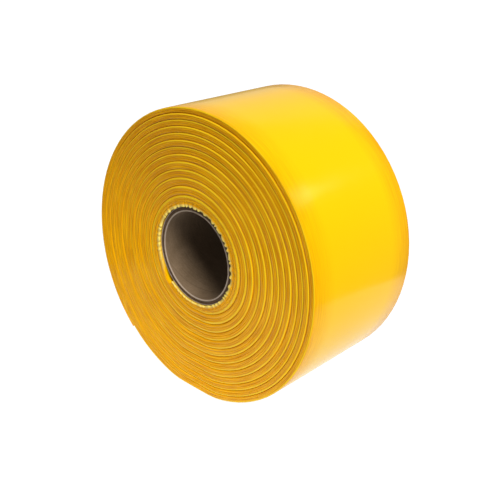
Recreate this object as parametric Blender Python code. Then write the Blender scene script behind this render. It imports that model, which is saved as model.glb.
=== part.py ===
"""A roll of flat-laid hose, wound edge to edge on a cardboard core.

The roll stands on its round side. +Z is up, the roll's axis runs along Y and the front end of the roll
faces -Y. Angles around the axis are clockwise from straight up, seen from the front. The hose is a
flattened tube with three bonded walls (cover, woven jacket, lining), wound outwards from the core, so
each wall is one long closed tube along a spiral. Its last stretch, the tail, peels off the roll.
"""

import math

import bpy
from mathutils import Matrix, Vector

# ---- driving dimensions, in metres and degrees -----------------------------------------------------
CORE_BORE_RADIUS = 0.0381        # a 3 inch winding core
CORE_OUTER_RADIUS = 0.0427
CORE_RECESS = 0.0026             # how far each end of the core sits inside the roll
INNER_PLY = 0.0012               # thickness of the core's innermost paper ply
OUTER_PLY = 0.0008
GAP = 0.0003                     # clearance that touching pieces keep

HOSE_WIDTH = 0.122               # the hose laid flat
FOLD_DEPTH = 0.0011              # extra material in each folded edge
EDGE_ROUND = 0.0018              # width of each edge's rounded shoulders
COVER_WALL = 0.0007
JACKET_WALL = 0.00035
LINING_WALL = 0.00045
WALL_GAP = 0.00025               # between the hose's bonded walls
FREE_THICKNESS = 0.0046          # a flat hose thinner than this has its walls pressed thinner too

TURNS = 13.0
END_ANGLE = 222.0                # where the hose's outer end lies on the roll
FIRST_TURN_RADIUS = 0.0442       # inside of the first turn, clear of the core and the starter tape
TIGHT_PITCH = 0.00477            # spacing that the turns settle to, far from the core
LOOSE_PITCH = 0.00465            # extra spacing beside the core, where the hose stays puffed
LOOSE_TURNS = 5.5                # turns over which the extra spacing fades
START_PRESS = 0.0026             # spacing at the hose's start, which is pressed flat on the core
START_TURNS = 0.35               # part of a turn over which the start puffs up
HUG = 0.7                        # part of the first turn that lies on the core before it climbs
EVEN_TURNS = 1.5                 # turns over which the unevenness from the start fades
BULGE = 0.0027                   # how far the roll bulges under the hose's end and presses it thin
BULGE_RISE = 0.071               # turns from the bulge's beginning to its top, at the hose's end
BULGE_FALL = 0.17                # and from its top down to nothing

OVAL = 0.0020                    # the soft roll's outer surface is slightly oval
OVAL_ANGLE = 42.0
SLUMP = 0.0047                   # and sits off its core, low and to the right
SLUMP_ANGLE = 145.5
FOOT_SAG = 0.0018                # how far the outer turn flattens where the roll stands
FOOT_REACH = 60.0                # the flattening never reaches further round than this

STATIONS = 24                    # cross-sections for each turn
LEAST_SPACING = 3.0              # degrees between neighbouring cross-sections
TAIL_ANGLE = 247.5               # where the tail leaves the roll
TAPE_THICKNESS = 0.0003
TAPE_WIDTH = 0.048
TAPE_ON_TAIL = 12.0              # degrees of closing tape above the hose's end
TAPE_ON_ROLL = 7.5               # and below it
TAPE_STEP = 2.4                  # where the tape has come down from the hose's end to the roll
STARTER_THICKNESS = 0.0005
STARTER_LENGTH = 45.0            # degrees of double-sided tape under the hose's start

CORE_LENGTH = HOSE_WIDTH - 2 * CORE_RECESS
ROUND_SEGMENTS = 2 * STATIONS
STEP = 360.0 / STATIONS


# ---- the shape of the winding ----------------------------------------------------------------------
def smooth_step(value):
    value = min(max(value, 0.0), 1.0)
    return value * value * (3.0 - 2.0 * value)


def pitch(turn):
    """Spacing from one turn to the next, at a place counted in turns from the hose's start."""
    return TIGHT_PITCH + LOOSE_PITCH * math.exp(-turn / LOOSE_TURNS)


def gain(turn):
    """Radius that an evenly growing roll would gain from the end of its first turn to a place."""
    early = math.exp(-0.5 / LOOSE_TURNS) - math.exp(-(turn - 0.5) / LOOSE_TURNS)
    return TIGHT_PITCH * (turn - 1.0) + LOOSE_PITCH * LOOSE_TURNS * early


def hug(turn):
    """The first turn lies on the core and then climbs onto the hose's own flat start."""
    return START_PRESS * smooth_step((turn - HUG) / (1.0 - HUG))


def unevenness(part):
    """How far the second turn departs from an evenly growing roll, over the uneven first one."""
    puffed = START_PRESS + (pitch(part) - START_PRESS) * smooth_step(part / START_TURNS)
    return hug(part) + puffed - START_PRESS - gain(1.0 + part)


def round_radius(turn):
    """Inside of the hose at a place, in a roll that stays round."""
    if turn < 1.0:
        return FIRST_TURN_RADIUS + hug(turn)
    fade = math.exp(-max(turn - 2.0, 0.0) / EVEN_TURNS)
    even = FIRST_TURN_RADIUS + START_PRESS + gain(turn)
    return even + fade * unevenness(turn - math.floor(turn))


def bulge(turn):
    """The roll bulges beside the hose's end, and leaves room there only for a flat hose."""
    beyond = turn - TURNS
    rising = smooth_step(1.0 + beyond / BULGE_RISE)
    return BULGE * rising * (1.0 - smooth_step(beyond / BULGE_FALL))


def angle_at(turn):
    return END_ANGLE + 360.0 * (TURNS - turn)


def turn_at(angle):
    """The place on the outermost turn that lies at an angle from END_ANGLE up to a full circle on."""
    return TURNS - (angle - END_ANGLE) / 360.0


FULL_GAIN = round_radius(TURNS) - FIRST_TURN_RADIUS


def soft_radius(turn, angle):
    """Inner face of the hose, with the soft roll's slight oval and slump growing towards its outside."""
    radius = round_radius(turn)
    share = (radius - FIRST_TURN_RADIUS) / FULL_GAIN
    oval = OVAL * math.cos(math.radians(2.0 * (angle - OVAL_ANGLE)))
    slump = SLUMP * math.cos(math.radians(angle - SLUMP_ANGLE))
    return radius + share * (oval + slump) + bulge(turn), share


def inner_face(turn):
    """Radius of the hose's inner face, flattened where the roll's weight rests on it."""
    angle = angle_at(turn) % 360.0
    radius, share = soft_radius(turn, angle)
    lean = angle - 180.0
    if abs(lean) < FOOT_REACH:
        foot = soft_radius(turn + lean / 360.0, 180.0)[0] - share * FOOT_SAG
        radius = min(radius, foot / math.cos(math.radians(lean)))
    return radius


def outer_face(turn):
    return inner_face(turn + 1.0) - GAP


def at_angle(angle, radius, along):
    lean = math.radians(angle)
    return Vector((radius * math.sin(lean), along, radius * math.cos(lean)))


# ---- building blocks -------------------------------------------------------------------------------
def make_material(name, colour, roughness, metallic=0.0):
    material = bpy.data.materials.new(name)
    material.use_nodes = True
    shader = material.node_tree.nodes["Principled BSDF"]
    shader.inputs["Base Color"].default_value = (*colour, 1.0)
    shader.inputs["Roughness"].default_value = roughness
    shader.inputs["Metallic"].default_value = metallic
    return material


def make_object(name, rings, closed, material, smooth=40.0):
    """Bridge a row of equal rings of points into one closed solid; closed joins the last to the first."""
    count = len(rings[0])
    points = [point for ring in rings for point in ring]
    faces = []
    spans = len(rings) if closed else len(rings) - 1
    for span in range(spans):
        here = span * count
        there = ((span + 1) % len(rings)) * count
        for corner in range(count):
            after = (corner + 1) % count
            faces.append((here + corner, here + after, there + after, there + corner))
    if not closed:
        faces.append(tuple(reversed(range(count))))
        faces.append(tuple(range(len(points) - count, len(points))))
    return finish_mesh(name, points, faces, material, smooth)


def finish_mesh(name, points, faces, material, smooth):
    mesh = bpy.data.meshes.new(name)
    mesh.from_pydata([tuple(point) for point in points], [], faces)
    mesh.update()
    mesh.shade_smooth()
    mesh.set_sharp_from_angle(angle=math.radians(smooth))
    mesh.materials.append(material)
    piece = bpy.data.objects.new(name, mesh)
    bpy.context.scene.collection.objects.link(piece)
    return piece


def turned_tube(name, inner_radius, outer_radius, length, material):
    """A straight tube around the roll's axis, spun from its rectangular section."""
    half = length / 2.0
    section = [(inner_radius, -half), (inner_radius, half), (outer_radius, half), (outer_radius, -half)]
    rings = []
    for segment in range(ROUND_SEGMENTS):
        angle = STEP / 2.0 + segment * 360.0 / ROUND_SEGMENTS
        rings.append([at_angle(angle, radius, along) for radius, along in section])
    return make_object(name, rings, True, material)


def stations_between(first_turn, last_turn):
    """Places along the hose: both ends, and every regular station angle between them."""
    margin = LEAST_SPACING / 360.0
    count = int((last_turn - first_turn) * STATIONS) + 2
    first_angle = angle_at(first_turn)
    regular = math.floor((first_angle - STEP / 2.0) / STEP) * STEP + STEP / 2.0
    places = [first_turn]
    for index in range(count):
        turn = TURNS - (regular - index * STEP - END_ANGLE) / 360.0
        if first_turn + margin < turn < last_turn - margin:
            places.append(turn)
    places.append(last_turn)
    return places


def wall_loop(turn, depth):
    """Outline of the flattened hose at one place, that deep inside its outer skin."""
    thickness = outer_face(turn) - inner_face(turn)
    pressed = depth * min(1.0, thickness / FREE_THICKNESS)
    inner = inner_face(turn) + pressed
    outer = outer_face(turn) - pressed
    half = HOSE_WIDTH / 2.0
    angle = angle_at(turn)
    if depth > 0.0:
        edge = half - FOLD_DEPTH - depth
        section = [(inner, -edge), (inner, edge), (outer, edge), (outer, -edge)]
    else:
        flat = half - EDGE_ROUND
        middle = (inner + outer) / 2.0
        section = [(inner, -flat), (inner, flat), (middle, half)]
        section += [(outer, flat), (outer, -flat), (middle, -half)]
    return [at_angle(angle, radius, along) for radius, along in section]


def bridge_ends(faces, outer_ring, inner_ring, flip):
    """Close the tube's cut end: an annulus between the outer loop and the loop inside it."""
    matches = {4: {4: [0, 1, 2, 3]}, 6: {4: [0, 1, 1, 2, 3, 3]}}
    partner = matches[len(outer_ring)][len(inner_ring)]
    for corner, here in enumerate(outer_ring):
        after = (corner + 1) % len(outer_ring)
        face = [here, outer_ring[after], inner_ring[partner[after]], inner_ring[partner[corner]]]
        face = list(dict.fromkeys(face))
        faces.append(tuple(face if flip else reversed(face)))


def hose_wall(name, first_turn, last_turn, depth, wall, material):
    """One wall of the hose: a flattened tube with open ends, along the spiral."""
    places = stations_between(first_turn, last_turn)
    skins = [wall_loop(turn, depth) for turn in places]
    bores = [wall_loop(turn, depth + wall) for turn in places]
    points = []
    faces = []
    for loops, flip in ((skins, True), (bores, False)):
        base = len(points)
        count = len(loops[0])
        points += [point for loop in loops for point in loop]
        for span in range(len(loops) - 1):
            here = base + span * count
            there = here + count
            for corner in range(count):
                after = (corner + 1) % count
                face = (here + corner, here + after, there + after, there + corner)
                faces.append(tuple(reversed(face)) if flip else face)
    skin_count = len(skins[0])
    bore_count = len(bores[0])
    bore_base = len(skins) * skin_count
    last = len(places) - 1
    for station, flip in ((0, True), (last, False)):
        skin_ring = [station * skin_count + corner for corner in range(skin_count)]
        bore_ring = [bore_base + station * bore_count + corner for corner in range(bore_count)]
        bridge_ends(faces, skin_ring, bore_ring, flip)
    return finish_mesh(name, points, faces, material, smooth=35.0)


def tape_strip(name, angles, radii, thickness, width, material):
    """A strip of tape that lies on the surface whose radius is given at each angle."""
    half = width / 2.0
    rings = []
    for angle, radius in zip(angles, radii):
        section = [(radius, -half), (radius, half), (radius + thickness, half), (radius + thickness, -half)]
        rings.append([at_angle(angle, level, along) for level, along in section])
    return make_object(name, rings, False, material)


# ---- the pieces ------------------------------------------------------------------------------------
def make_core():
    inner_top = CORE_BORE_RADIUS + INNER_PLY
    outer_foot = CORE_OUTER_RADIUS - OUTER_PLY
    liner = make_material("core_liner_paper", (0.30, 0.20, 0.10), 0.9)
    board = make_material("core_board", (0.36, 0.25, 0.13), 0.95)
    kraft = make_material("core_outer_paper", (0.33, 0.22, 0.11), 0.85)
    return [
        turned_tube("core_inner_ply", CORE_BORE_RADIUS, inner_top, CORE_LENGTH, liner),
        turned_tube("core_body", inner_top + GAP, outer_foot - GAP, CORE_LENGTH, board),
        turned_tube("core_outer_ply", outer_foot, CORE_OUTER_RADIUS, CORE_LENGTH, kraft),
    ]


def make_starter_tape():
    paper = make_material("starter_tape_film", (0.75, 0.72, 0.62), 0.6)
    spacing = 360.0 / ROUND_SEGMENTS
    first = math.floor((angle_at(0.0) % 360.0 - STARTER_LENGTH) / spacing) * spacing + STEP / 2.0
    angles = [first + index * spacing for index in range(int(STARTER_LENGTH / spacing) + 1)]
    radii = [CORE_OUTER_RADIUS + GAP] * len(angles)
    return tape_strip("starter_tape", angles, radii, STARTER_THICKNESS, TAPE_WIDTH, paper)


def make_hose(prefix, first_turn, last_turn, walls):
    pieces = []
    depth = 0.0
    for name, wall, material in walls:
        pieces.append(hose_wall(f"{prefix}_{name}", first_turn, last_turn, depth, wall, material))
        depth += wall + WALL_GAP
    return pieces


def tape_level(angle):
    """Lowest the closing tape can lie: on the tail's outer face, or on the roll past the tail's end."""
    turn = turn_at(angle)
    if turn > TURNS:
        turn -= 1.0
    return outer_face(turn) + GAP


def make_closing_tape():
    film = make_material("closing_tape_film", (0.85, 0.83, 0.74), 0.25)
    below = (END_ANGLE - STEP / 2.0) // STEP * STEP + STEP / 2.0
    on_roll = [END_ANGLE - TAPE_ON_ROLL, below, END_ANGLE - TAPE_STEP]
    on_tail = [END_ANGLE, below + STEP, END_ANGLE + TAPE_ON_TAIL]
    spots = [(angle, tape_level(angle)) for angle in on_roll]
    spots.append((END_ANGLE - TAPE_STEP / 3.0, tape_level(END_ANGLE)))
    spots += [(angle, tape_level(angle)) for angle in on_tail]
    angles = [angle for angle, _ in spots]
    radii = [radius for _, radius in spots]
    return tape_strip("closing_tape", angles, radii, TAPE_THICKNESS, TAPE_WIDTH, film)


def hinge_empty(name, angle, radius, pieces):
    """A hinge line along the roll's axis, which the pieces that turn about it are parented to."""
    pivot = bpy.data.objects.new(name, None)
    bpy.context.scene.collection.objects.link(pivot)
    pivot.location = at_angle(angle, radius, 0.0)
    for piece in pieces:
        piece.data.transform(Matrix.Translation(-pivot.location))
        piece.parent = pivot
    return pivot


def stand_on_floor(pieces, pivots):
    """Put the middle of the roll's footprint at the origin, with the roll standing on Z = 0."""
    bpy.context.view_layer.update()
    corners = [piece.matrix_world @ vertex.co for piece in pieces for vertex in piece.data.vertices]
    low = [min(corner[axis] for corner in corners) for axis in range(3)]
    high = [max(corner[axis] for corner in corners) for axis in range(3)]
    shift = Vector((-(low[0] + high[0]) / 2.0, 0.0, -low[2]))
    for thing in pieces + pivots:
        if thing.parent is None:
            thing.location += shift


def main():
    for thing in list(bpy.data.objects):
        bpy.data.objects.remove(thing, do_unlink=True)

    walls = [
        ("cover", COVER_WALL, make_material("hose_cover_yellow", (0.93, 0.62, 0.01), 0.3)),
        ("jacket", JACKET_WALL, make_material("hose_jacket_yarn", (0.80, 0.78, 0.70), 0.9)),
        ("lining", LINING_WALL, make_material("hose_lining_yellow", (0.80, 0.50, 0.02), 0.5)),
    ]
    root_turn = turn_at(TAIL_ANGLE)
    split = math.degrees(GAP / outer_face(root_turn)) / 360.0
    core = make_core()
    starter = make_starter_tape()
    wound = make_hose("wound", 0.0, root_turn - split, walls)
    tail = make_hose("tail", root_turn, TURNS, walls)
    tape = make_closing_tape()

    tape_top = END_ANGLE + TAPE_ON_TAIL
    tail_pivot = hinge_empty("tail_peel", TAIL_ANGLE, outer_face(root_turn), tail)
    tape_pivot = hinge_empty("tape_peel", tape_top, tape_level(tape_top), [tape])
    bpy.context.view_layer.update()
    stand_on_floor(core + [starter] + wound + tail + [tape], [tail_pivot, tape_pivot])


main()
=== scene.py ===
"""The looks of a roll of flat-laid yellow hose on a cardboard core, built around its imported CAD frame.

Angles around the roll's axis are clockwise from straight up, seen from the front (-Y) end. Places along
the hose are counted in turns from its start on the core, and a winding function gives their radius.
"""

import math

import bpy
import numpy as np
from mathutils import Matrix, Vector


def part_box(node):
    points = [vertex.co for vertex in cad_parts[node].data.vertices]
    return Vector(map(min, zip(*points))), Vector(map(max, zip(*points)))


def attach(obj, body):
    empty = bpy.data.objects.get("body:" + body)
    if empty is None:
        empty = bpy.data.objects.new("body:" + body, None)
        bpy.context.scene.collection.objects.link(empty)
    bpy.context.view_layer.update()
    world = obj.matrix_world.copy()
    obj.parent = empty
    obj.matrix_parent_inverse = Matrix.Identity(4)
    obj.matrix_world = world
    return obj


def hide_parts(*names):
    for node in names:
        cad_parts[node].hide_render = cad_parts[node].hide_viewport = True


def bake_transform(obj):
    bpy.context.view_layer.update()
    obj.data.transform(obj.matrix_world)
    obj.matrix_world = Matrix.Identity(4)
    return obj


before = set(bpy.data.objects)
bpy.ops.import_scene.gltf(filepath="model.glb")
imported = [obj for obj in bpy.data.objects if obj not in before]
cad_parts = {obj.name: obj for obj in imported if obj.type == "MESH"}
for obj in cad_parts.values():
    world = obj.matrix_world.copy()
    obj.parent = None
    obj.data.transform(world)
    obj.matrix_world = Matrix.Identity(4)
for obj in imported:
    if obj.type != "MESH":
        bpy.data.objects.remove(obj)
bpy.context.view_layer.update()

# ---- sizes that the frame's boxes give --------------------------------------------------------------
CORE_LOW, CORE_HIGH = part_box("core_body")
COVER_LOW, COVER_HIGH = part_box("wound_cover")
AXIS_X = (CORE_LOW.x + CORE_HIGH.x) / 2.0
AXIS_Z = (CORE_LOW.z + CORE_HIGH.z) / 2.0
HOSE_WIDTH = COVER_HIGH.y - COVER_LOW.y
CORE_LENGTH = CORE_HIGH.y - CORE_LOW.y

# ---- the winding, as the CAD model has it, in metres and degrees ------------------------------------
CORE_BORE_RADIUS = 0.0381
CORE_OUTER_RADIUS = 0.0427
INNER_PLY = 0.0012
OUTER_PLY = 0.0008
GAP = 0.0003
COVER_WALL = 0.0007
JACKET_WALL = 0.00035
LINING_WALL = 0.00045
WALL_GAP = 0.00025
FREE_THICKNESS = 0.0046
TURNS = 13.0
END_ANGLE = 222.0
FIRST_TURN_RADIUS = 0.0442
TIGHT_PITCH = 0.00477
LOOSE_PITCH = 0.00465
LOOSE_TURNS = 5.5
START_PRESS = 0.0026
START_TURNS = 0.35
HUG = 0.7
EVEN_TURNS = 1.5
BULGE = 0.0027
BULGE_RISE = 0.071
BULGE_FALL = 0.17
OVAL = 0.0020
OVAL_ANGLE = 42.0
SLUMP = 0.0047
SLUMP_ANGLE = 145.5
FOOT_SAG = 0.0018
FOOT_REACH = 60.0
TAIL_ANGLE = 247.5
TAPE_WIDTH = 0.048
TAPE_ON_TAIL = 12.0
TAPE_ON_ROLL = 7.5
STARTER_THICKNESS = 0.0005
STARTER_LENGTH = 45.0

# ---- finish -----------------------------------------------------------------------------------------
FIRST_STATIONS = 600             # cross-sections in the crinkled first turn
TURN_STATIONS = 84               # and in each later turn
INNER_STATIONS = 60              # and in each turn of the hidden walls
CRINKLED_TURNS = 1.05            # the pleats and the curled rim end here
CRINKLE_FADE = 0.2               # and fade over this many turns before it
TAIL_OVERLAP = 8.0               # degrees of hose behind the hinge that belong to the tail's piece
INSETS = (0.0250, 0.0064, 0.0036, 0.0026, 0.0019)    # inner face's points, in from the hose's edge
SHOULDER_SHARE = 0.17            # rounding of the folded edges, as a share of the hose's thickness
SHOULDER_REACH = 0.0010          # and how far it reaches in from the edge
CREASE_DEPTH = 0.00030           # of the two creases along each folded edge
PLEATS = 47                      # crinkles in the edge of the first turn
PLEAT_DEPTH = 0.00075
PLEAT_STRAY = 5.0                # how irregularly the crinkles are spaced
LIP = 0.0012                     # the first turn's edges curl in this far over the core's ends
LIP_REACH = 0.0026               # and the curl starts this far from the edge
LIP_CREST = 0.0006               # and is complete this far from it
FLUSHNESS = 0.00036              # how far the turns' edges stand out of line
SNUG = 0.0010                    # the first turn lies this much closer to the core than in the CAD
CLIMB_START = 0.93               # turns from the start, where the first turn leaves the core
CLIMB_TURNS = 0.055              # part of a turn in which it climbs onto the hose's flat start
CLEARANCE = 0.0001               # between turns inside the roll, where the CAD keeps GAP
OUTER_TURNS = 2.0                # over the last turns, the clearance opens up to GAP
OPENING_TURNS = 0.8              # and this many turns take that change
TAPE_FILM = 0.00012              # thickness of the closing tape, and how far it lies off the hose
TAPE_TEETH = 0.28                # depth in degrees of its torn teeth
TAPE_DROP = 3.4                  # degrees below the hose's end where it has come down onto the roll
TAPE_DROP_REACH = 3.2            # degrees that it takes to come down
END_PRESS = 0.0010               # the hose's cut end is pressed this much thinner than in the CAD
PRESSED_TURNS = 0.045            # over this part of a turn
FOOT_SOFTNESS = 0.0004           # rounding of the flattened foot's ends

# ---- the winding's shape ----------------------------------------------------------------------------
def smooth_step(value):
    value = np.clip(value, 0.0, 1.0)
    return value * value * (3.0 - 2.0 * value)


def pitch(turn):
    """Spacing from one turn to the next."""
    return TIGHT_PITCH + LOOSE_PITCH * np.exp(-turn / LOOSE_TURNS)


def gain(turn):
    """Radius that an evenly growing roll would gain from the end of its first turn to a place."""
    early = math.exp(-0.5 / LOOSE_TURNS) - np.exp(-(turn - 0.5) / LOOSE_TURNS)
    return TIGHT_PITCH * (turn - 1.0) + LOOSE_PITCH * LOOSE_TURNS * early


def hug(turn):
    """The first turn lies on the core and then climbs onto the hose's own flat start."""
    return START_PRESS * smooth_step((turn - HUG) / (1.0 - HUG))


def unevenness(part):
    """How far the second turn departs from an evenly growing roll, over the uneven first one."""
    puffed = START_PRESS + (pitch(part) - START_PRESS) * smooth_step(part / START_TURNS)
    return hug(part) + puffed - START_PRESS - gain(1.0 + part)


def round_radius(turn):
    """Inside of the hose at a place, in a roll that stays round."""
    fade = np.exp(-np.maximum(turn - 2.0, 0.0) / EVEN_TURNS)
    even = FIRST_TURN_RADIUS + START_PRESS + gain(turn)
    wound = even + fade * unevenness(turn - np.floor(turn))
    return np.where(turn < 1.0, FIRST_TURN_RADIUS + hug(turn), wound)


def bulge(turn):
    """The roll bulges beside the hose's end, and leaves room there only for a flat hose."""
    beyond = turn - TURNS
    return BULGE * smooth_step(1.0 + beyond / BULGE_RISE) * (1.0 - smooth_step(beyond / BULGE_FALL))


def angle_at(turn):
    return END_ANGLE + 360.0 * (TURNS - turn)


def turn_at(angle):
    return TURNS - (angle - END_ANGLE) / 360.0


def soft_radius(turn, angle):
    """Radius of the hose's inner face with the soft roll's oval and slump, and the share of them there."""
    radius = round_radius(turn)
    share = (radius - FIRST_TURN_RADIUS) / (round_radius(np.array(TURNS)) - FIRST_TURN_RADIUS)
    oval = OVAL * np.cos(np.radians(2.0 * (angle - OVAL_ANGLE)))
    slump = SLUMP * np.cos(np.radians(angle - SLUMP_ANGLE))
    return radius + share * (oval + slump) + bulge(turn), share


def inner_face(turn):
    """Radius of the hose's inner face, flattened where the roll's weight rests on it."""
    turn = np.asarray(turn, float)
    angle = angle_at(turn) % 360.0
    radius, share = soft_radius(turn, angle)
    lean = angle - 180.0
    foot = soft_radius(turn + lean / 360.0, 180.0)[0] - share * FOOT_SAG
    near = np.abs(lean) < FOOT_REACH
    flattened = foot / np.cos(np.radians(np.where(near, lean, 0.0)))
    clear = (radius - flattened) / FOOT_SOFTNESS
    eased = radius - FOOT_SOFTNESS * np.log1p(np.exp(np.clip(clear, -60.0, 60.0)))
    return np.where(near, eased, radius)


def outer_face(turn):
    """Radius of the hose's outer face, just inside the next turn, and pressed thin at the cut end."""
    turn = np.asarray(turn, float)
    gap = CLEARANCE + (GAP - CLEARANCE) * smooth_step((turn - TURNS + OUTER_TURNS) / OPENING_TURNS)
    press = END_PRESS * smooth_step((turn - TURNS + PRESSED_TURNS) / PRESSED_TURNS)
    return inner_face(turn + 1.0) - gap - press


def place(angle, radius, along):
    """Points in the frame from their angle, radius and distance along the roll's axis."""
    lean = np.radians(angle)
    x = AXIS_X + radius * np.sin(lean)
    z = AXIS_Z + radius * np.cos(lean)
    return np.stack([x, along + 0.0 * radius, z], -1)


def wander(turn, seed, scale):
    """A smooth, repeatable wobble between about -1 and 1 along the hose."""
    shifts = np.random.default_rng(seed).uniform(0.0, 2.0 * math.pi, 6)
    waves = [1.0, 1.73, 2.61, 3.37, 4.9, 7.3]
    total = sum(np.sin(turn * scale * wave * 2.0 * math.pi + shift) / (1.0 + 0.35 * index)
                for index, (wave, shift) in enumerate(zip(waves, shifts)))
    return total / 3.0


# ---- meshes -----------------------------------------------------------------------------------------
def make_mesh(name, points, faces, material, smooth=50.0, attributes=()):
    mesh = bpy.data.meshes.new(name)
    mesh.from_pydata(points.tolist(), [], faces)
    mesh.update()
    for label, values in attributes:
        mesh.attributes.new(label, "FLOAT", "POINT").data.foreach_set("value", np.asarray(values, np.float32))
    mesh.shade_smooth()
    mesh.set_sharp_from_angle(angle=math.radians(smooth))
    mesh.materials.append(material)
    piece = bpy.data.objects.new(name, mesh)
    bpy.context.scene.collection.objects.link(piece)
    return piece


def skin_faces(rows, columns, base=0, closed_rows=False, flip=False):
    """Quads between neighbouring rings of points; each ring closes on itself."""
    row = np.arange(rows if closed_rows else rows - 1)
    column = np.arange(columns)
    here = base + row[:, None] * columns + column[None, :]
    after = base + row[:, None] * columns + (column[None, :] + 1) % columns
    down = (row + 1) % rows
    there = base + down[:, None] * columns + column[None, :]
    there_after = base + down[:, None] * columns + (column[None, :] + 1) % columns
    quads = np.stack([here, after, there_after, there], -1).reshape(-1, 4)
    if flip:
        quads = quads[:, ::-1]
    return quads.tolist()


def bridge_rings(big, small, big_angles, small_angles, flip):
    """Triangles between two closed rings with different numbers of points, matched by their angles."""
    faces = []
    i = j = 0
    while i < len(big) or j < len(small):
        next_big = big_angles[i + 1] if i < len(big) else math.inf
        next_small = small_angles[j + 1] if j < len(small) else math.inf
        a = big[i % len(big)]
        b = small[j % len(small)]
        if next_big <= next_small:
            face = (a, big[(i + 1) % len(big)], b)
            i += 1
        else:
            face = (a, small[(j + 1) % len(small)], b)
            j += 1
        faces.append(face[::-1] if flip else face)
    return faces


def ring_shares(ring):
    """How far round its ring each point lies, from 0 to 1, with the start repeated at the end."""
    steps = np.linalg.norm(np.roll(ring, -1, 0) - ring, axis=1)
    return np.concatenate([[0.0], np.cumsum(steps) / steps.sum()])


# ---- the hose ---------------------------------------------------------------------------------------
def edge_outline(thickness, turn, side):
    """One folded edge: depth from the inner face and distance out from the hose's middle, face to face.

    The edge has rounded shoulders, two creases where the fold buckles, and a slight crown."""
    half = HOSE_WIDTH / 2.0
    rounding = SHOULDER_SHARE * thickness
    seed = 11 if side < 0 else 12
    centres = (thickness * (0.40 + 0.025 * wander(turn, seed, 0.9)),
               thickness * (0.63 + 0.025 * wander(turn, seed + 20, 0.8)))
    looseness = np.clip((thickness - 0.0045) / 0.004, 0.0, 1.0)
    dent = CREASE_DEPTH * (0.9 + 0.5 * wander(turn, seed + 40, 1.3) + 0.9 * looseness)
    width = 0.07 * thickness
    line = half - FLUSHNESS * (1.0 + wander(turn, seed + 60, 0.31))
    line = line - 0.0001 * (1.0 + wander(turn, seed + 80, 2.7))
    reach_in = np.minimum(SHOULDER_REACH, 0.8 * thickness)
    crown = 0.00012
    depths = []
    reaches = []
    for step in (0.0, 30.0, 60.0, 90.0):
        turned = math.radians(step)
        depths.append(rounding * (1.0 - math.cos(turned)))
        reaches.append(line - reach_in * (1.0 - math.sin(turned)))
    for order, centre in enumerate(centres):
        for offset, drop in ((-1.0, 0.0), (0.0, 1.0), (1.0, 0.0)):
            depths.append(centre + offset * width)
            reaches.append(line + crown - dent * (1.0 - 0.3 * order) * drop)
        if order == 0:
            depths.append((centres[0] + centres[1]) / 2.0)
            reaches.append(line + crown * 1.3)
    for step in (90.0, 60.0, 30.0, 0.0):
        turned = math.radians(step)
        depths.append(thickness - rounding * (1.0 - math.cos(turned)))
        reaches.append(line - reach_in * (1.0 - math.sin(turned)))
    return np.stack(depths, 1), np.stack(reaches, 1)


def crinkled_share(turn):
    """How strongly the edges are crinkled: fully in the first turn, and not after it."""
    return 1.0 - smooth_step((turn - CRINKLED_TURNS + CRINKLE_FADE) / CRINKLE_FADE)


def pleat_phase(turn):
    """Where a place lies within the unevenly spaced pleats, as an angle in radians."""
    return 2.0 * math.pi * PLEATS * turn + PLEAT_STRAY * wander(turn, 77, 5.0)


def crinkle(turn, depths, thickness):
    """Pleats in the first turn's edges, strongest beside the core."""
    strength = crinkled_share(turn)
    share = depths / thickness[:, None]
    phase = pleat_phase(turn)
    size = 0.7 + 0.3 * wander(turn, 78, 11.0)
    wave = np.sin(phase)[:, None] * np.exp(-(share / 0.30) ** 2)
    slant = np.sin(phase[:, None] * 1.37 + 9.0 * share)
    fine = slant * np.exp(-((share - 0.5) / 0.35) ** 2)
    return (strength * size)[:, None] * (PLEAT_DEPTH * wave + 0.00013 * fine)


def curl(turn, reaches, depths, thickness):
    """How far the first turn's edges lean in over the core's ends, with a pleated rim."""
    strength = crinkled_share(turn)
    outwards = smooth_step((reaches - (HOSE_WIDTH / 2.0 - LIP_REACH)) / (LIP_REACH - LIP_CREST))
    share = np.clip(1.0 - depths / (0.8 * thickness[:, None]), 0.0, 1.0)
    ripple = 1.0 + 0.22 * np.sin(pleat_phase(turn) + 0.9) + 0.14 * wander(turn, 79, 9.0)
    return strength[:, None] * outwards * share * LIP * ripple[:, None]


def painted_highlights(turn, share, order):
    """Where highlights are painted on the cover: a painted highlight along each turn's outer shoulder, and a
    painted highlight along the first turn's pleated rim.

    The order counts a section's points outwards; those at INSETS come first, and then the folded edge."""
    patchy = (0.80 + 0.20 * wander(turn, 91, 5.0))[:, None]
    folded = order[None, :] >= len(INSETS)
    # painted highlight along each turn's outer shoulder, stronger and weaker in patches
    ridge_highlight = patchy * folded * np.exp(-((share - 0.86) / 0.085) ** 2)
    # painted highlight along the first turn's pleated rim, brighter and dimmer with the pleats
    wave = 0.90 + 0.10 * np.sin(pleat_phase(turn) + 0.6)
    beside_fold = order[None, :] >= len(INSETS) - 2
    rim_highlight = (crinkled_share(turn) * wave)[:, None] * beside_fold * np.exp(-((share - 0.11) / 0.17) ** 2)
    return ridge_highlight, rim_highlight


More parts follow.
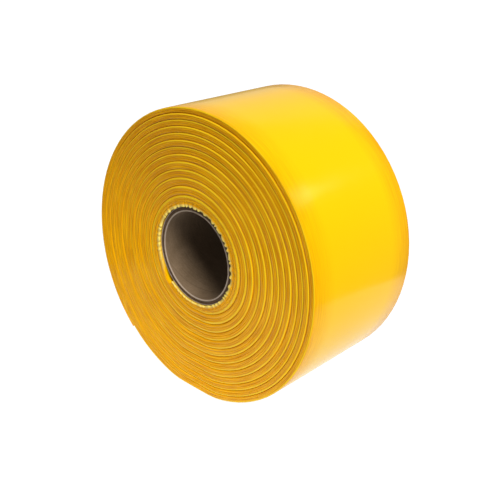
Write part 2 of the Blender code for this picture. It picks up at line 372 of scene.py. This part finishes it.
def cover_rings(turns):
    """Outer skin of the hose at each place: its radius and reach, where the edge lies, and where the painted
    highlights on each turn's shoulder and on the first turn's rim lie.
    """
    on_core = inner_face(np.minimum(turns, HUG)) - SNUG
    climb = smooth_step((turns - CLIMB_START) / CLIMB_TURNS)
    inner = on_core + (inner_face(turns) - on_core) * climb
    outer = outer_face(turns)
    thickness = outer - inner
    half = HOSE_WIDTH / 2.0
    inner_reaches = [half - inset for inset in INSETS]
    sides = []
    lines = []
    for side, offset in ((1, 0.37), (-1, 0.0)):
        edge_depths, edge_reaches = edge_outline(thickness, turns, side)
        pleats = crinkle(turns + offset, edge_depths, thickness)
        edge_reaches = edge_reaches + pleats
        flat = np.array(inner_reaches)[None, :].repeat(len(turns), 0)
        depths = np.concatenate([0.0 * flat, edge_depths + 0.4 * np.abs(pleats)], 1)
        reaches = np.concatenate([flat, edge_reaches], 1)
        radii = inner[:, None] + depths - curl(turns + offset, reaches, depths, thickness)
        sides.append((radii, reaches))
        # masks of the painted highlights on this side of the hose
        lines.append(painted_highlights(turns + offset, depths / thickness[:, None], np.arange(depths.shape[1])))
    (back_radii, back_reaches), (front_radii, front_reaches) = sides
    across = np.array([[0.6, 0.2, -0.2, -0.6]]) * half
    outer_row = (outer[:, None].repeat(4, 1), across.repeat(len(turns), 0))
    radius = np.concatenate([back_radii, outer_row[0], front_radii[:, ::-1]], 1)
    along = np.concatenate([back_reaches, outer_row[1], -front_reaches[:, ::-1]], 1)
    edge = smooth_step((np.abs(along) - (half - 0.0030)) / 0.0022)
    plain = np.zeros_like(outer_row[1])
    ridge_highlight, rim_highlight = (np.concatenate([back, plain, front[:, ::-1]], 1) for back, front in zip(*lines))
    return radius, along, (edge, ridge_highlight, rim_highlight)


def wall_rings(turns, depth):
    """Outline of a hidden wall's surface, that deep inside the hose's outer skin."""
    thickness = outer_face(turns) - inner_face(turns)
    pressed = depth * np.minimum(1.0, thickness / FREE_THICKNESS)
    inner = inner_face(turns) + pressed
    outer = outer_face(turns) - pressed
    edge = HOSE_WIDTH / 2.0 - SHOULDER_REACH - depth
    soften = np.minimum(0.3 * (outer - inner), 0.0008)
    one = np.ones_like(turns)
    radius = [inner, inner, inner + soften, outer - soften, outer, outer, outer - soften, inner + soften]
    along = [-edge + 0.0008, edge - 0.0008, edge, edge, edge - 0.0008, -edge + 0.0008, -edge, -edge]
    return np.stack(radius, 1), np.stack([reach * one for reach in along], 1)


def hose_length(turns):
    """Distance along the hose from its start, at its middle line."""
    fine = np.linspace(0.0, TURNS, 6001)
    middle = (inner_face(fine) + outer_face(fine)) / 2.0
    steps = 2.0 * math.pi * (middle[1:] + middle[:-1]) / 2.0 * np.diff(fine)
    return np.interp(turns, fine, np.concatenate([[0.0], np.cumsum(steps)]))


def tube_from_rings(name, turns, skin, bore, material, marks=(), smooth=50.0):
    """A closed tube wall along the hose, from its outer and its inner outline at each place."""
    angles = angle_at(turns)[:, None]
    skin_points = place(angles, *skin)
    bore_points = place(angles, *bore)
    rows, skin_count = skin[0].shape
    bore_count = bore[0].shape[1]
    points = np.concatenate([skin_points.reshape(-1, 3), bore_points.reshape(-1, 3)])
    faces = skin_faces(rows, skin_count, flip=True)
    bore_base = rows * skin_count
    faces += skin_faces(rows, bore_count, base=bore_base)
    for row, flip in ((0, False), (rows - 1, True)):
        big = [row * skin_count + index for index in range(skin_count)]
        small = [bore_base + row * bore_count + index for index in range(bore_count)]
        big_shares = ring_shares(skin_points[row])
        small_shares = ring_shares(bore_points[row])
        faces += bridge_rings(big, small, big_shares, small_shares, flip)
    length = hose_length(turns)
    run = np.concatenate([np.repeat(length, skin_count), np.repeat(length, bore_count)])
    steps = np.linalg.norm(np.diff(skin_points, axis=1), axis=2)
    girth = np.concatenate([np.zeros((rows, 1)), np.cumsum(steps, 1)], 1)
    girth = np.concatenate([girth.ravel(), bore[1].ravel()])
    early = np.exp(-np.maximum(turns - 0.6, 0.0) / 0.8)
    early = np.concatenate([np.repeat(early, skin_count), np.repeat(early, bore_count)])
    across = np.concatenate([skin[1].ravel(), bore[1].ravel()])
    attributes = [("run", run), ("across", across), ("girth", girth), ("early", early)]
    # the edge mask and the two painted highlight masks go on the outer skin only
    for label, values in zip(("edge", "ridge_highlight", "rim_highlight"), marks):
        attributes.append((label, np.concatenate([values.ravel(), np.zeros(len(points) - bore_base)])))
    return make_mesh(name, points, faces, material, smooth, attributes)


def cover_turns(first, last):
    """Places along the cover: close together in the crinkled first turn, wider after it."""
    crinkled = np.arange(first, min(last, CRINKLED_TURNS), 1.0 / FIRST_STATIONS)
    later = np.arange(max(first, CRINKLED_TURNS), last, 1.0 / TURN_STATIONS)
    return np.unique(np.concatenate([crinkled, later, [last]]))


def even_turns(first, last, per_turn):
    return np.linspace(first, last, max(2, int(round((last - first) * per_turn)) + 1))


def make_hose(prefix, first, last, per_turn, materials):
    """The three bonded walls of the hose between two places: cover, woven jacket and lining."""
    cover, jacket, lining = materials
    outer_turns = cover_turns(first, last) if prefix == "wound" else even_turns(first, last, 4 * per_turn)
    radius, along, marks = cover_rings(outer_turns)
    pieces = [tube_from_rings(f"hose_{prefix}_cover", outer_turns, (radius, along),
                              wall_rings(outer_turns, COVER_WALL), cover, marks)]
    turns = even_turns(first, last, per_turn)
    depth = COVER_WALL + WALL_GAP
    for label, wall, material in (("jacket", JACKET_WALL, jacket), ("lining", LINING_WALL, lining)):
        pieces.append(tube_from_rings(f"hose_{prefix}_{label}", turns, wall_rings(turns, depth),
                                      wall_rings(turns, depth + wall), material))
        depth += wall + WALL_GAP
    return pieces


# ---- the core and the tapes -------------------------------------------------------------------------
def turned(name, section, material, segments=192, roughen=None, smooth=40.0):
    """A closed tube around the roll's axis from its (radius, along) section."""
    angles = np.linspace(0.0, 360.0, segments, endpoint=False)[:, None]
    section = np.array(section)
    radius = np.repeat(section[None, :, 0], segments, 0)
    along = np.repeat(section[None, :, 1], segments, 0)
    if roughen is not None:
        radius, along = roughen(angles, radius, along)
    points = place(angles, radius, along).reshape(-1, 3)
    faces = skin_faces(segments, len(section), closed_rows=True)
    return make_mesh(name, points, faces, material, smooth)


def ply_section(inner, outer, burr):
    """A paper ply's section, with slightly rounded corners and cut ends that stand a burr proud."""
    half = CORE_LENGTH / 2.0
    soft = min(0.00025, (outer - inner) * 0.3)
    return [
        (inner, -half * 0.5), (inner, 0.0), (inner, half * 0.5), (inner, half - soft),
        (inner + soft, half + burr), (outer - soft, half), (outer, half - soft), (outer, 0.0),
        (outer, -half + soft), (outer - soft, -half), (inner + soft, -half - burr), (inner, -half + soft),
    ]


def fray(seed, amount):
    """Roughens the cut ends of a ply a little, the same way each run."""
    def roughen(angles, radius, along):
        count = len(angles)
        noise = np.random.default_rng(seed).normal(0.0, 1.0, (count, 1))
        noise = (noise + np.roll(noise, 1, 0)) / 2.0
        near_end = np.abs(along) > CORE_LENGTH / 2.0 - 0.0004
        along = along + np.sign(along) * near_end * noise * amount
        return radius, along
    return roughen


def make_core(paper, board):
    """Three nested tubes of wound paper, with slightly frayed ends."""
    inner_top = CORE_BORE_RADIUS + INNER_PLY
    outer_foot = CORE_OUTER_RADIUS - OUTER_PLY
    plies = [
        ("core_liner_ply", "core_inner_ply", CORE_BORE_RADIUS, inner_top, paper, 0.00012),
        ("core_wound_board", "core_body", inner_top + 0.0001, outer_foot - 0.0001, board, 0.0),
        ("core_kraft_ply", "core_outer_ply", outer_foot, CORE_OUTER_RADIUS, paper, 0.00005),
    ]
    for seed, (name, node, inner, outer, material, burr) in enumerate(plies):
        piece = turned(name, ply_section(inner, outer, burr), material, roughen=fray(seed, 0.00009))
        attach(piece, "roll")
        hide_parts(node)


def strip(name, angles, radii, thickness, width, material, ragged=0.0, columns=9):
    """A thin strip of tape over the surface whose radius is given at each angle."""
    half = width / 2.0
    across = np.linspace(-half, half, columns)
    teeth = ragged * (np.arange(columns) % 2 * 2.0 - 1.0)
    share = np.linspace(-1.0, 1.0, len(angles))
    shifted = angles[:, None] + np.where(np.abs(share) > 0.999, np.sign(share), 0.0)[:, None] * teeth[None, :]
    low = place(shifted, radii[:, None] + 0.0 * shifted, across[None, :] + 0.0 * shifted)
    high = place(shifted, radii[:, None] + thickness + 0.0 * shifted, across[None, :] + 0.0 * shifted)
    rings = np.concatenate([low, high[:, ::-1]], 1)
    rows, count = rings.shape[:2]
    faces = skin_faces(rows, count)
    faces.append(list(range(count))[::-1])
    faces.append([(rows - 1) * count + index for index in range(count)])
    return make_mesh(name, rings.reshape(-1, 3), faces, material)


def make_starter_tape(material):
    """Double-sided tape between the core and the hose's start."""
    start = END_ANGLE % 360.0
    angles = np.linspace(start - STARTER_LENGTH + 2.0, start - 1.0, 40)
    radii = np.full_like(angles, CORE_OUTER_RADIUS + 0.0001)
    piece = strip("starter_tape_strip", angles, radii, STARTER_THICKNESS * 0.6, TAPE_WIDTH, material)
    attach(piece, "roll")
    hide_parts("starter_tape")


def make_closing_tape(material):
    """The tape lies on the tail, drops over its cut end and sticks to the roll below."""
    angles = np.linspace(END_ANGLE - TAPE_ON_ROLL, END_ANGLE + TAPE_ON_TAIL - TAPE_TEETH, 120)
    on_tail = outer_face(turn_at(np.maximum(angles, END_ANGLE)))
    on_roll = outer_face(turn_at(np.minimum(angles, END_ANGLE)) - 1.0)
    drop = smooth_step((angles - (END_ANGLE - TAPE_DROP)) / TAPE_DROP_REACH)
    radii = on_roll + (on_tail - on_roll) * drop + TAPE_FILM
    piece = strip("closing_tape_strip", angles, radii, TAPE_FILM, TAPE_WIDTH, material,
                  ragged=TAPE_TEETH, columns=33)
    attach(piece, "tape")
    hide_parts("closing_tape")


# ---- materials --------------------------------------------------------------------------------------
class Nodes:
    """A material's node tree, with short calls for the nodes that the materials here use."""

    def __init__(self, name):
        self.material = bpy.data.materials.new(name)
        self.material.use_nodes = True
        self.tree = self.material.node_tree
        self.shader = self.tree.nodes["Principled BSDF"]

    def add(self, kind, settings=(), **inputs):
        node = self.tree.nodes.new(kind)
        for label, value in settings:
            setattr(node, label, value)
        for label, value in inputs.items():
            self.feed(node.inputs[label.replace("_", " ")], value)
        return node

    def feed(self, socket, value):
        if isinstance(value, bpy.types.NodeSocket):
            self.tree.links.new(value, socket)
        else:
            socket.default_value = value

    def math(self, operation, first, second=0.0):
        node = self.tree.nodes.new("ShaderNodeMath")
        node.operation = operation
        self.feed(node.inputs[0], first)
        self.feed(node.inputs[1], second)
        return node.outputs[0]

    def attribute(self, label):
        return self.add("ShaderNodeAttribute", (("attribute_name", label),)).outputs["Fac"]

    def vector(self, x, y, z=0.0):
        return self.add("ShaderNodeCombineXYZ", X=x, Y=y, Z=z).outputs[0]

    def noise(self, vector, scale, detail=3.0, roughness=0.55):
        node = self.add("ShaderNodeTexNoise", Vector=vector, Scale=scale, Detail=detail, Roughness=roughness)
        return node.outputs["Fac"]

    def ramp(self, value, low, high, to_low=0.0, to_high=1.0):
        node = self.add("ShaderNodeMapRange", From_Min=low, From_Max=high, To_Min=to_low, To_Max=to_high)
        self.feed(node.inputs["Value"], value)
        return node.outputs["Result"]

    def mix(self, share, first, second):
        node = self.tree.nodes.new("ShaderNodeMix")
        node.data_type = "RGBA"
        self.feed(node.inputs["Factor"], share)
        self.feed(node.inputs["A"], first if isinstance(first, bpy.types.NodeSocket) else (*first, 1.0))
        self.feed(node.inputs["B"], second if isinstance(second, bpy.types.NodeSocket) else (*second, 1.0))
        return node.outputs["Result"]

    def bump(self, height, distance, strength=1.0, normal=None):
        node = self.add("ShaderNodeBump", Height=height, Distance=distance, Strength=strength)
        if normal is not None:
            self.feed(node.inputs["Normal"], normal)
        return node.outputs["Normal"]

    def finish(self, colour, roughness, normal=None, **fixed):
        self.feed(self.shader.inputs["Base Color"], colour)
        self.feed(self.shader.inputs["Roughness"], roughness)
        if normal is not None:
            self.feed(self.shader.inputs["Normal"], normal)
        for label, value in fixed.items():
            self.shader.inputs[label.replace("_", " ")].default_value = value
        return self.material


def cover_material():
    """Glossy yellow cover: faint mottling on the flats, fine streaks and wrinkles in the folded edges, and
    painted highlights along each turn's outer shoulder and the first turn's pleated rim.
    """
    nodes = Nodes("hose_cover_gloss_yellow")
    run = nodes.attribute("run")
    girth = nodes.attribute("girth")
    edge = nodes.attribute("edge")
    flat = nodes.vector(run, girth)
    mottle = nodes.noise(flat, 55.0, 4.0)
    cloud = nodes.noise(flat, 9.0, 2.0)
    streaks = nodes.noise(nodes.vector(nodes.math("MULTIPLY", run, 0.02), girth), 1500.0, 2.0, 0.6)
    wrinkles = nodes.noise(nodes.vector(run, nodes.math("MULTIPLY", girth, 0.8)), 900.0, 2.0, 0.5)
    streak_share = nodes.ramp(streaks, 0.40, 0.60)
    face = nodes.mix(nodes.ramp(cloud, 0.3, 0.7), (0.98, 0.555, 0.0010), (0.98, 0.575, 0.0012))
    fold = nodes.mix(streak_share, (0.76, 0.30, 0.0002), (0.99, 0.49, 0.0004))
    colour = nodes.mix(edge, face, fold)
    # painted highlight along each turn's outer shoulder
    colour = nodes.mix(nodes.ramp(nodes.attribute("ridge_highlight"), 0.15, 0.65), colour, (1.0, 0.66, 0.012))
    # painted highlight along the first turn's pleated rim
    colour = nodes.mix(nodes.ramp(nodes.attribute("rim_highlight"), 0.25, 0.85), colour, (1.0, 0.77, 0.16))
    grain = nodes.math("ADD", nodes.math("MULTIPLY", mottle, 0.12), nodes.math("MULTIPLY", edge, 0.06))
    roughness = nodes.math("ADD", grain, 0.12)
    lines = nodes.bump(nodes.math("MULTIPLY", streaks, edge), 0.00022, 0.8)
    early = nodes.math("MULTIPLY", nodes.attribute("early"), edge)
    creased = nodes.bump(nodes.math("MULTIPLY", wrinkles, early), 0.0007, 1.0, lines)
    weave = nodes.bump(nodes.noise(flat, 420.0, 2.0), 0.00003, 0.25, creased)
    nodes.shader.inputs["Specular Tint"].default_value = (1.0, 0.85, 0.30, 1.0)
    return nodes.finish(colour, roughness, weave, Specular_IOR_Level=0.22)


def yarn_material():
    """Off-white polyester yarn, woven round the hose."""
    nodes = Nodes("hose_jacket_yarn")
    run = nodes.math("MULTIPLY", nodes.attribute("run"), 2.0 * math.pi / 0.0022)
    across = nodes.math("MULTIPLY", nodes.attribute("across"), 2.0 * math.pi / 0.0022)
    warp = nodes.math("SINE", run)
    weft = nodes.math("SINE", across)
    weave = nodes.math("MULTIPLY", warp, weft)
    share = nodes.ramp(weave, -1.0, 1.0)
    colour = nodes.mix(share, (0.50, 0.44, 0.30), (0.82, 0.76, 0.62))
    roughness = nodes.ramp(weave, -1.0, 1.0, 0.9, 0.7)
    return nodes.finish(colour, roughness, nodes.bump(share, 0.0002))


def lining_material():
    """Smooth satin lining inside the hose."""
    nodes = Nodes("hose_lining_satin")
    flat = nodes.vector(nodes.attribute("run"), nodes.attribute("across"))
    mottle = nodes.noise(flat, 160.0, 3.0)
    colour = nodes.mix(mottle, (0.62, 0.34, 0.02), (0.74, 0.43, 0.03))
    return nodes.finish(colour, nodes.ramp(mottle, 0.0, 1.0, 0.4, 0.6), nodes.bump(mottle, 0.00004))


def paper_material(name, dark, light, pitch, cut_highlight_share):
    """Kraft paper wound on a slant, with fibres, specks, a faint helical seam, and a painted highlight along
    its cut ends.
    """
    nodes = Nodes(name)
    where = nodes.add("ShaderNodeTexCoord").outputs["Object"]
    split = nodes.add("ShaderNodeSeparateXYZ", Vector=where)
    x = nodes.math("SUBTRACT", split.outputs["X"], AXIS_X)
    z = nodes.math("SUBTRACT", split.outputs["Z"], AXIS_Z)
    turn = nodes.math("DIVIDE", nodes.math("ARCTAN2", x, z), 2.0 * math.pi)
    slant = nodes.math("ADD", nodes.math("DIVIDE", split.outputs["Y"], pitch), turn)
    part = nodes.math("FRACT", slant)
    seam = nodes.math("LESS_THAN", part, 0.012)
    fibres = nodes.noise(where, 900.0, 5.0, 0.7)
    streaks = nodes.noise(nodes.vector(nodes.math("MULTIPLY", turn, 0.25), slant), 60.0, 4.0)
    blotch = nodes.noise(where, 70.0, 3.0)
    tone = nodes.math("ADD", nodes.math("MULTIPLY", fibres, 0.5), nodes.math("MULTIPLY", streaks, 0.25))
    tone = nodes.math("ADD", tone, nodes.math("MULTIPLY", blotch, 0.35))
    colour = nodes.mix(nodes.ramp(tone, 0.35, 0.8), dark, light)
    colour = nodes.mix(nodes.math("MULTIPLY", seam, 0.25), colour, tuple(value * 0.4 for value in dark))
    # painted highlight: the ply turns paler over its last 1.2 mm at each end, where the cut rim catches the
    # light
    reach = nodes.math("ABSOLUTE", split.outputs["Y"])
    cut = nodes.ramp(reach, CORE_LENGTH / 2.0 - 0.0012, CORE_LENGTH / 2.0, 0.0, cut_highlight_share)
    colour = nodes.mix(cut, colour, (0.52, 0.42, 0.33))
    height = nodes.math("SUBTRACT", tone, nodes.math("MULTIPLY", seam, 0.5))
    return nodes.finish(colour, nodes.ramp(fibres, 0.0, 1.0, 0.75, 0.98), nodes.bump(height, 0.00015, 0.8),
                        Specular_IOR_Level=0.3)


def tape_material(name, tint, opacity):
    """Thin clear film with faint rolled-in streaks."""
    nodes = Nodes(name)
    where = nodes.add("ShaderNodeTexCoord").outputs["Object"]
    stretched = nodes.add("ShaderNodeMapping", Vector=where, Scale=(900.0, 30.0, 900.0)).outputs[0]
    streaks = nodes.noise(stretched, 1.0)
    colour = nodes.mix(streaks, tuple(value * 0.9 for value in tint), tint)
    return nodes.finish(colour, nodes.ramp(streaks, 0.0, 1.0, 0.08, 0.25), nodes.bump(streaks, 0.00002),
                        Alpha=opacity)


# ---- the studio -------------------------------------------------------------------------------------
VIEW_AZIMUTH = 43.8
VIEW_ELEVATION = 23.2
VIEW_DISTANCE = 0.6792
VIEW_LENS = 56.04
AIM = Vector((AXIS_X + 0.0016, 0.0, AXIS_Z - 0.0031))
STEP_RIGHT = 0.0036              # the camera steps aside from its aim, because the roll isn't centred
STEP_DOWN = 0.0081
FLOOR_LEVEL = -0.0002
NEAR_FLOOR = 0.30                # radius of the floor that lights the roll from below
FAR_FLOOR = 9.0                  # radius of the floor that only the camera sees
WORLD_GLOW = 0.22
SUN_DIRECTION = (0.64, -0.25, 0.73)
SUN_STRENGTH = 3.65
SUN_SPREAD = 25.0


def make_camera():
    """The camera stands off the front end's right, looking slightly down at the roll."""
    azimuth = math.radians(VIEW_AZIMUTH)
    elevation = math.radians(VIEW_ELEVATION)
    back = Vector((math.sin(azimuth) * math.cos(elevation), -math.cos(azimuth) * math.cos(elevation),
                   math.sin(elevation)))
    right = Vector((math.cos(azimuth), math.sin(azimuth), 0.0))
    down = right.cross(back)
    data = bpy.data.cameras.new("camera")
    data.lens = VIEW_LENS
    data.clip_start = 0.01
    camera = bpy.data.objects.new("camera", data)
    bpy.context.scene.collection.objects.link(camera)
    camera.location = AIM + back * VIEW_DISTANCE + right * STEP_RIGHT + down * STEP_DOWN
    camera.rotation_mode = "QUATERNION"
    camera.rotation_quaternion = back.to_track_quat("Z", "Y")
    bpy.context.scene.camera = camera


def stage_disc(name, inner, outer, glow, diffuse):
    """A flat ring or disc of pale floor around the roll."""
    count = 96
    angles = np.linspace(0.0, 2.0 * math.pi, count, endpoint=False)
    rims = [radius for radius in (inner, outer) if radius > 0.0]
    points = np.concatenate([np.stack([radius * np.sin(angles), radius * np.cos(angles),
                                       np.full(count, FLOOR_LEVEL)], 1) for radius in rims])
    faces = [list(range(count))] if len(rims) == 1 else skin_faces(2, count)
    nodes = Nodes(name)
    grain = nodes.noise(nodes.add("ShaderNodeTexCoord").outputs["Object"], 30.0, 2.0)
    nodes.finish(nodes.mix(grain, (diffuse,) * 3, (diffuse * 1.02,) * 3), 0.9)
    nodes.shader.inputs["Emission Color"].default_value = (1.0, 1.0, 1.0, 1.0)
    nodes.shader.inputs["Emission Strength"].default_value = glow
    nodes.shader.inputs["Specular IOR Level"].default_value = 0.0
    disc = make_mesh(name, points, faces, nodes.material)
    if disc.data.polygons[0].normal.z < 0.0:
        disc.data.flip_normals()
    return disc


def area_light(name, direction, distance, size, radiance):
    """A softbox that faces the roll from a direction, with an even glow."""
    width, height = size
    data = bpy.data.lights.new(name, "AREA")
    data.shape = "RECTANGLE"
    data.size = width
    data.size_y = height
    data.energy = radiance * width * height * math.pi
    light = bpy.data.objects.new(name, data)
    bpy.context.scene.collection.objects.link(light)
    toward = Vector(direction).normalized()
    light.location = AIM + toward * distance
    light.rotation_mode = "QUATERNION"
    light.rotation_quaternion = toward.to_track_quat("Z", "Y")
    return light


def make_studio():
    """A pale floor, a broad sun from the upper right, and two softboxes for the gloss."""
    near = stage_disc("stage_floor_near", 0.0, NEAR_FLOOR, 1.0, 0.10)
    far = stage_disc("stage_floor_far", NEAR_FLOOR, FAR_FLOOR, 1.0, 0.10)
    near.visible_diffuse = True
    far.visible_diffuse = False
    far.visible_glossy = False
    world = bpy.data.worlds.new("studio")
    world.use_nodes = True
    world.node_tree.nodes["Background"].inputs["Color"].default_value = (1.0, 1.0, 1.0, 1.0)
    world.node_tree.nodes["Background"].inputs["Strength"].default_value = WORLD_GLOW
    bpy.context.scene.world = world
    sun_data = bpy.data.lights.new("key", "SUN")
    sun_data.energy = SUN_STRENGTH
    sun_data.angle = math.radians(SUN_SPREAD)
    sun = bpy.data.objects.new("key", sun_data)
    bpy.context.scene.collection.objects.link(sun)
    sun.rotation_mode = "QUATERNION"
    sun.rotation_quaternion = Vector(SUN_DIRECTION).to_track_quat("Z", "Y")
    sun.visible_glossy = False
    strip_light = area_light("back_strip", (0.587, 0.586, 0.557), 1.32, (0.26, 0.18), 8.0)
    strip_light.visible_diffuse = False
    area_light("top_panel", (-0.50, 0.70, 0.42), 1.5, (1.6, 1.0), 0.42)
    bpy.context.scene.view_settings.view_transform = "Standard"


# ---- the object -------------------------------------------------------------------------------------
def main():
    """Makes every piece, ties the roll's and the tape's pieces to their bodies, bakes the tail's pieces in
    place, and hides the CAD node that each piece replaces.
    """
    walls = (cover_material(), yarn_material(), lining_material())
    split = turn_at(TAIL_ANGLE + TAIL_OVERLAP)
    wound = make_hose("wound", 0.0, split, INNER_STATIONS, walls)
    tail = make_hose("tail", split, TURNS, 2 * INNER_STATIONS, walls)
    labels = ("cover", "jacket", "lining")
    for piece, label in zip(wound, labels):
        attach(piece, "roll")
        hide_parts(f"wound_{label}")
    for piece, label in zip(tail, labels):
        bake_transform(piece)
        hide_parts(f"tail_{label}")
    # the last number of each paper is the strength of the painted highlight on its cut ends
    make_core(paper_material("core_kraft_paper", (0.10, 0.065, 0.034), (0.23, 0.16, 0.10), 0.085, 0.8),
              paper_material("core_cut_board", (0.055, 0.032, 0.016), (0.16, 0.10, 0.06), 0.11, 0.0))
    make_starter_tape(tape_material("starter_tape_film", (0.80, 0.76, 0.66), 1.0))
    make_closing_tape(tape_material("closing_tape_film", (0.93, 0.86, 0.62), 0.45))


make_camera()
make_studio()
main()
